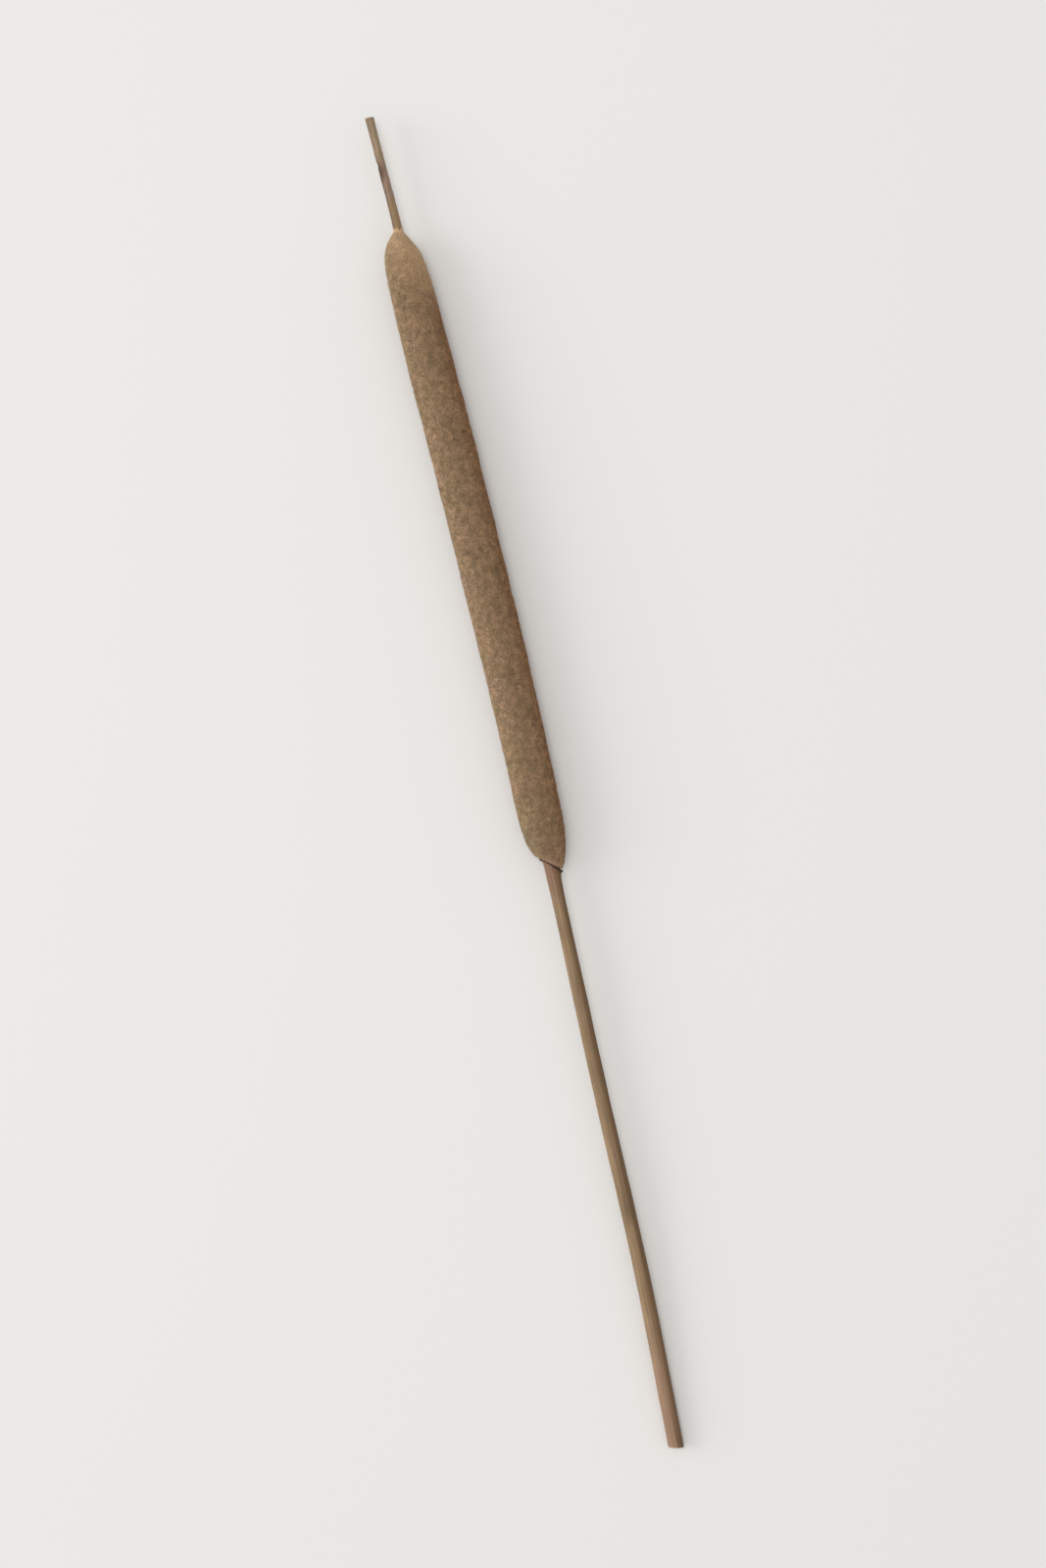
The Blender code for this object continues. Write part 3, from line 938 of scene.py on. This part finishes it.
def cork_and_lip_shade():
    material, tree, shader = new_material("dark_scar_cork_and_lip_shade")
    place = add(tree, "Attribute", attribute_name="grown").outputs["Vector"]
    grain = add(tree, "TexNoise", {"Scale": 1 / CORK_GRAIN, "Detail": 2.0}, {"Vector": place})
    tint = add(
        tree,
        "Mix",
        {6: linear(CORK_DARK_SHADE), 7: linear(CORK_BROWN)},
        {0: grain.outputs["Fac"]},
        data_type="RGBA",
    )
    tree.links.new(tint.outputs[2], shader.inputs["Base Color"])
    shader.inputs["Roughness"].default_value = CORK_ROUGHNESS
    shader.inputs["IOR"].default_value = CELLULOSE_IOR
    return material


# The scar, partly painted shade under the lip
scar = bract_scar_and_lip_shade()
scar.data.materials.append(cork_and_lip_shade())
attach(scar, "root")
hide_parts("stem")

# Tip spike: the bare dry axis that carried the male flowers. It is woodier than the stem, ribbed and
# rough with their scars, has a small notch on its left, and was snipped off blunt, which flared its tip.
NOTCH_BELOW_TIP = 15.5 * MM
NOTCH_DEPTH = 0.3 * MM
NOTCH_HALF_WIDTH = 1.1 * MM
SPOT_BELOW_TIP = 18.0 * MM
SPOT_HALF_LENGTH = 2.5 * MM
SPOT_TURN = 4.05
SPOT_HALF_TURN = 0.65
SPIKE_ROWS = 250
SPIKE_SIDES = 48
SPIKE_RIBS = ((5, 0.045 * MM), (9, 0.030 * MM), (14, 0.015 * MM))
SPIKE_WANDER = 0.3
SPIKE_WANDER_LENGTH = 11.0 * MM
SPIKE_STRETCH = 0.4
# The lumps of its surface: (size, height, seed)
SPIKE_LUMPS = ((0.5 * MM, 0.03 * MM, 41), (1.6 * MM, 0.02 * MM, 42))
GROOVE_TURN = 3.35
GROOVE_HALF_TURN = 0.22
GROOVE_DEPTH = 0.14 * MM
GROOVE_ABOVE = 22.0 * MM
GROOVE_FADE = 3.0 * MM
# Painted shade in the notch and in the groove; the spot below the notch and the cut tip are dirt
NOTCH_SHADE = 0.55
SPOT_DIRT = 0.85
GROOVE_SHADE = 0.75
TIP_DIRT = 0.35
# The rings of its cut end: (share of the width, height above the edge)
SPIKE_END = ((0.93, 0.05 * MM), (0.6, 0.02 * MM), (0.25, -0.06 * MM), (0.01, -0.08 * MM))


def spike_rings():
    above = np.linspace(-3.0 * MM, SPIKE_LENGTH, SPIKE_ROWS)[:, None]
    turn = (np.arange(SPIKE_SIDES) / SPIKE_SIDES * TAU)[None, :]
    radius = through(SPIKE_WIDTHS, above) / 2
    twist = turn + SPIKE_WANDER * np.sin(above / SPIKE_WANDER_LENGTH)
    for count, height in SPIKE_RIBS:
        radius = radius + height * (np.cos(count * (twist + count)) - RIB_SINK)
    straight = round_place(radius, turn, above * SPIKE_STRETCH)
    for size, height, seed in SPIKE_LUMPS:
        radius = radius + ripple(straight, size, seed) * height
    left = np.clip(-np.cos(turn), 0.0, 1.0)
    notch = np.exp(-(((SPIKE_LENGTH - NOTCH_BELOW_TIP - above) / NOTCH_HALF_WIDTH) ** 2))
    groove = np.exp(-(((turn - GROOVE_TURN) / GROOVE_HALF_TURN) ** 2))
    groove = groove * np.clip((GROOVE_ABOVE - above) / GROOVE_FADE, 0.0, 1.0)
    radius = radius - NOTCH_DEPTH * left * notch - GROOVE_DEPTH * groove
    from_spot = (SPIKE_LENGTH - SPOT_BELOW_TIP - above) / SPOT_HALF_LENGTH
    spot = np.exp(-(from_spot**2) - ((turn - SPOT_TURN) / SPOT_HALF_TURN) ** 2)
    # The notch and the groove get painted shade, the spot is dirt
    stains_and_shade = NOTCH_SHADE * left * notch + SPOT_DIRT * spot + GROOVE_SHADE * groove
    return round_place(radius, turn, HEAD_APEX + above), np.clip(stains_and_shade, 0.0, 1.0)


def spike_skin():
    rings, stains_and_shade = spike_rings()
    middle = rings[-1:].mean(axis=1, keepdims=True)
    shares, heights = np.array(SPIKE_END).T[..., None]
    end = middle + (rings[-1:] - middle) * shares[..., None]
    end[..., 2] += heights
    piece = tube_from("spike_axis", np.concatenate([rings, end]))
    # Painted shade in the notch and the groove, dirt on the spot and on the cut tip
    keep(piece, "stain_and_shade", np.concatenate([stains_and_shade, np.full(end.shape[:2], TIP_DIRT)]).ravel())
    return piece


# Dry woody axis: bare fibres without wax, matte and paler towards the weathered tip, with a reddish
# stretch under the notch, a dark dirt spot below the notch, painted shade in the notch and in the groove,
# and painted shade down its left side. The fibres are drawn at 0.25 mm because the real ones, at about
# 0.1 mm, are too fine to show
WOOD_TIP = "#A18B6F"
WOOD_RED = "#987D69"
WOOD_LOW = "#947A5A"
# The dark of the dirt and of the painted shade in the notch and the groove
WOOD_STAIN_AND_SHADE = "#50381F"
WOOD_ROUGHNESS = 0.8
WOOD_FIBRE = 0.25 * MM
WOOD_STRETCH = 0.08
# Distances below the tip at which the reddish stretch and the pale tip begin and are full
RED_FROM = 30.0 * MM
RED_TO = 25.0 * MM
PALE_TIP_FROM = 16.5 * MM
PALE_TIP_TO = 12.5 * MM
# Where the painted shade down the spike's left side begins and is full
SPIKE_LEFT_SHADE_FROM = -0.2 * MM
SPIKE_LEFT_SHADE_TO = -1.3 * MM


def woody_axis():
    material, tree, shader = new_material("dry_woody_axis")
    place = add(tree, "Attribute", attribute_name="grown").outputs["Vector"]
    right, _, along = add(tree, "SeparateXYZ", links={"Vector": place}).outputs
    stretched = add(tree, "Mapping", {"Scale": (1.0, 1.0, WOOD_STRETCH)}, {"Vector": place})
    drawn_out = stretched.outputs["Vector"]
    fibre = add(tree, "TexNoise", {"Scale": 1 / WOOD_FIBRE, "Detail": 2.0}, {"Vector": drawn_out})
    band = add(tree, "TexNoise", {"Scale": 0.33 / WOOD_FIBRE, "Detail": 1.0}, {"Vector": drawn_out})
    to_red = add(
        tree,
        "MapRange",
        {"From Min": TIP - RED_FROM, "From Max": TIP - RED_TO},
        {"Value": along},
        interpolation_type="SMOOTHSTEP",
    )
    low = add(
        tree,
        "Mix",
        {6: linear(WOOD_LOW), 7: linear(WOOD_RED)},
        {0: to_red.outputs["Result"]},
        data_type="RGBA",
    )
    to_tip = add(
        tree,
        "MapRange",
        {"From Min": TIP - PALE_TIP_FROM, "From Max": TIP - PALE_TIP_TO},
        {"Value": along},
        interpolation_type="SMOOTHSTEP",
    )
    wood = add(
        tree,
        "Mix",
        {7: linear(WOOD_TIP)},
        {0: to_tip.outputs["Result"], 6: low.outputs[2]},
        data_type="RGBA",
    )
    # Dirt, and painted shade in the notch and the groove
    stain_and_shade = add(tree, "Attribute", attribute_name="stain_and_shade").outputs["Fac"]
    tint = add(tree, "Mix", {7: linear(WOOD_STAIN_AND_SHADE)}, {0: stain_and_shade, 6: wood.outputs[2]}, data_type="RGBA")
    shades = (
        (fibre.outputs["Fac"], 0.3, 0.7, 0.78, 1.18),
        (band.outputs["Fac"], 0.35, 0.65, 0.82, 1.14),
        # Painted shade down the left side
        (right, SPIKE_LEFT_SHADE_TO, SPIKE_LEFT_SHADE_FROM, 0.7, 1.0),
    )
    tree.links.new(shaded(tree, tint.outputs[2], shades), shader.inputs["Base Color"])
    shader.inputs["Roughness"].default_value = WOOD_ROUGHNESS
    shader.inputs["IOR"].default_value = CELLULOSE_IOR
    return material


spike = spike_skin()
spike.data.materials.append(woody_axis())
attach(spike, "root")
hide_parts("tip_spike")

# Studio: a plain pale matte floor, a soft light from the left of the picture, and pale air that is dimmer
# on the right. The camera looks straight down and is turned, so that the stalk leans to the left.
STALK_LEAN = math.radians(13.0)
FRAME_HEIGHT = 506.0 * MM
LENS = 85.0
SENSOR = 36.0
FLOOR_SIZE = 12.0
FLOOR_PAINT = "#F3F2F0"
FLOOR_ROUGHNESS = 0.9
AIR_COLOUR = "#F2F1EF"
AIR_ON_LEFT = 0.9
AIR_ON_RIGHT = 0.5

half = FLOOR_SIZE / 2
floor_corners = [(-half, -half, 0), (half, -half, 0), (half, half, 0), (-half, half, 0)]
floor_mesh = bpy.data.meshes.new("studio_floor")
floor_mesh.from_pydata(floor_corners, [], [(0, 1, 2, 3)])
floor = bpy.data.objects.new("studio_floor", floor_mesh)
bpy.context.scene.collection.objects.link(floor)
paint, _, floor_shader = new_material("matte_floor_paint")
floor_shader.inputs["Base Color"].default_value = linear(FLOOR_PAINT)
floor_shader.inputs["Roughness"].default_value = FLOOR_ROUGHNESS
floor_mesh.materials.append(paint)

world = bpy.data.worlds.new("studio_air")
bpy.context.scene.world = world
world.use_nodes = True
air = world.node_tree
background = air.nodes["Background"]
background.inputs["Color"].default_value = linear(AIR_COLOUR)
way = add(air, "TexCoord").outputs["Generated"]
rightward = add(air, "SeparateXYZ", links={"Vector": way}).outputs["X"]
strength = add(
    air,
    "MapRange",
    {"From Min": -1.0, "From Max": 1.0, "To Min": AIR_ON_LEFT, "To Max": AIR_ON_RIGHT},
    {"Value": rightward},
)
air.links.new(strength.outputs["Result"], background.inputs["Strength"])


def soft_light(name, place, size, power):
    """A square soft light that faces the stalk."""
    data = bpy.data.lights.new(name, "AREA")
    data.size = size
    data.energy = power
    lamp = bpy.data.objects.new(name, data)
    lamp.location = place
    lamp.rotation_euler = (-Vector(place)).to_track_quat("-Z", "Y").to_euler()
    bpy.context.scene.collection.objects.link(lamp)


soft_light("key_left", (-1.9, 0.6, 1.0), 1.2, 12.0)
soft_light("top", (-0.3, 0.3, 2.4), 0.8, 12.0)

camera = bpy.data.cameras.new("overhead")
camera.lens = LENS
camera.sensor_width = SENSOR
eye = bpy.data.objects.new("overhead", camera)
eye.location = (CUT_X, CUT_Y + TIP / 2, AXIS_HEIGHT + FRAME_HEIGHT * LENS / SENSOR)
eye.rotation_euler = (0.0, 0.0, -STALK_LEAN)
bpy.context.scene.collection.objects.link(eye)
bpy.context.scene.camera = eye
bpy.context.scene.view_settings.view_transform = "Standard"
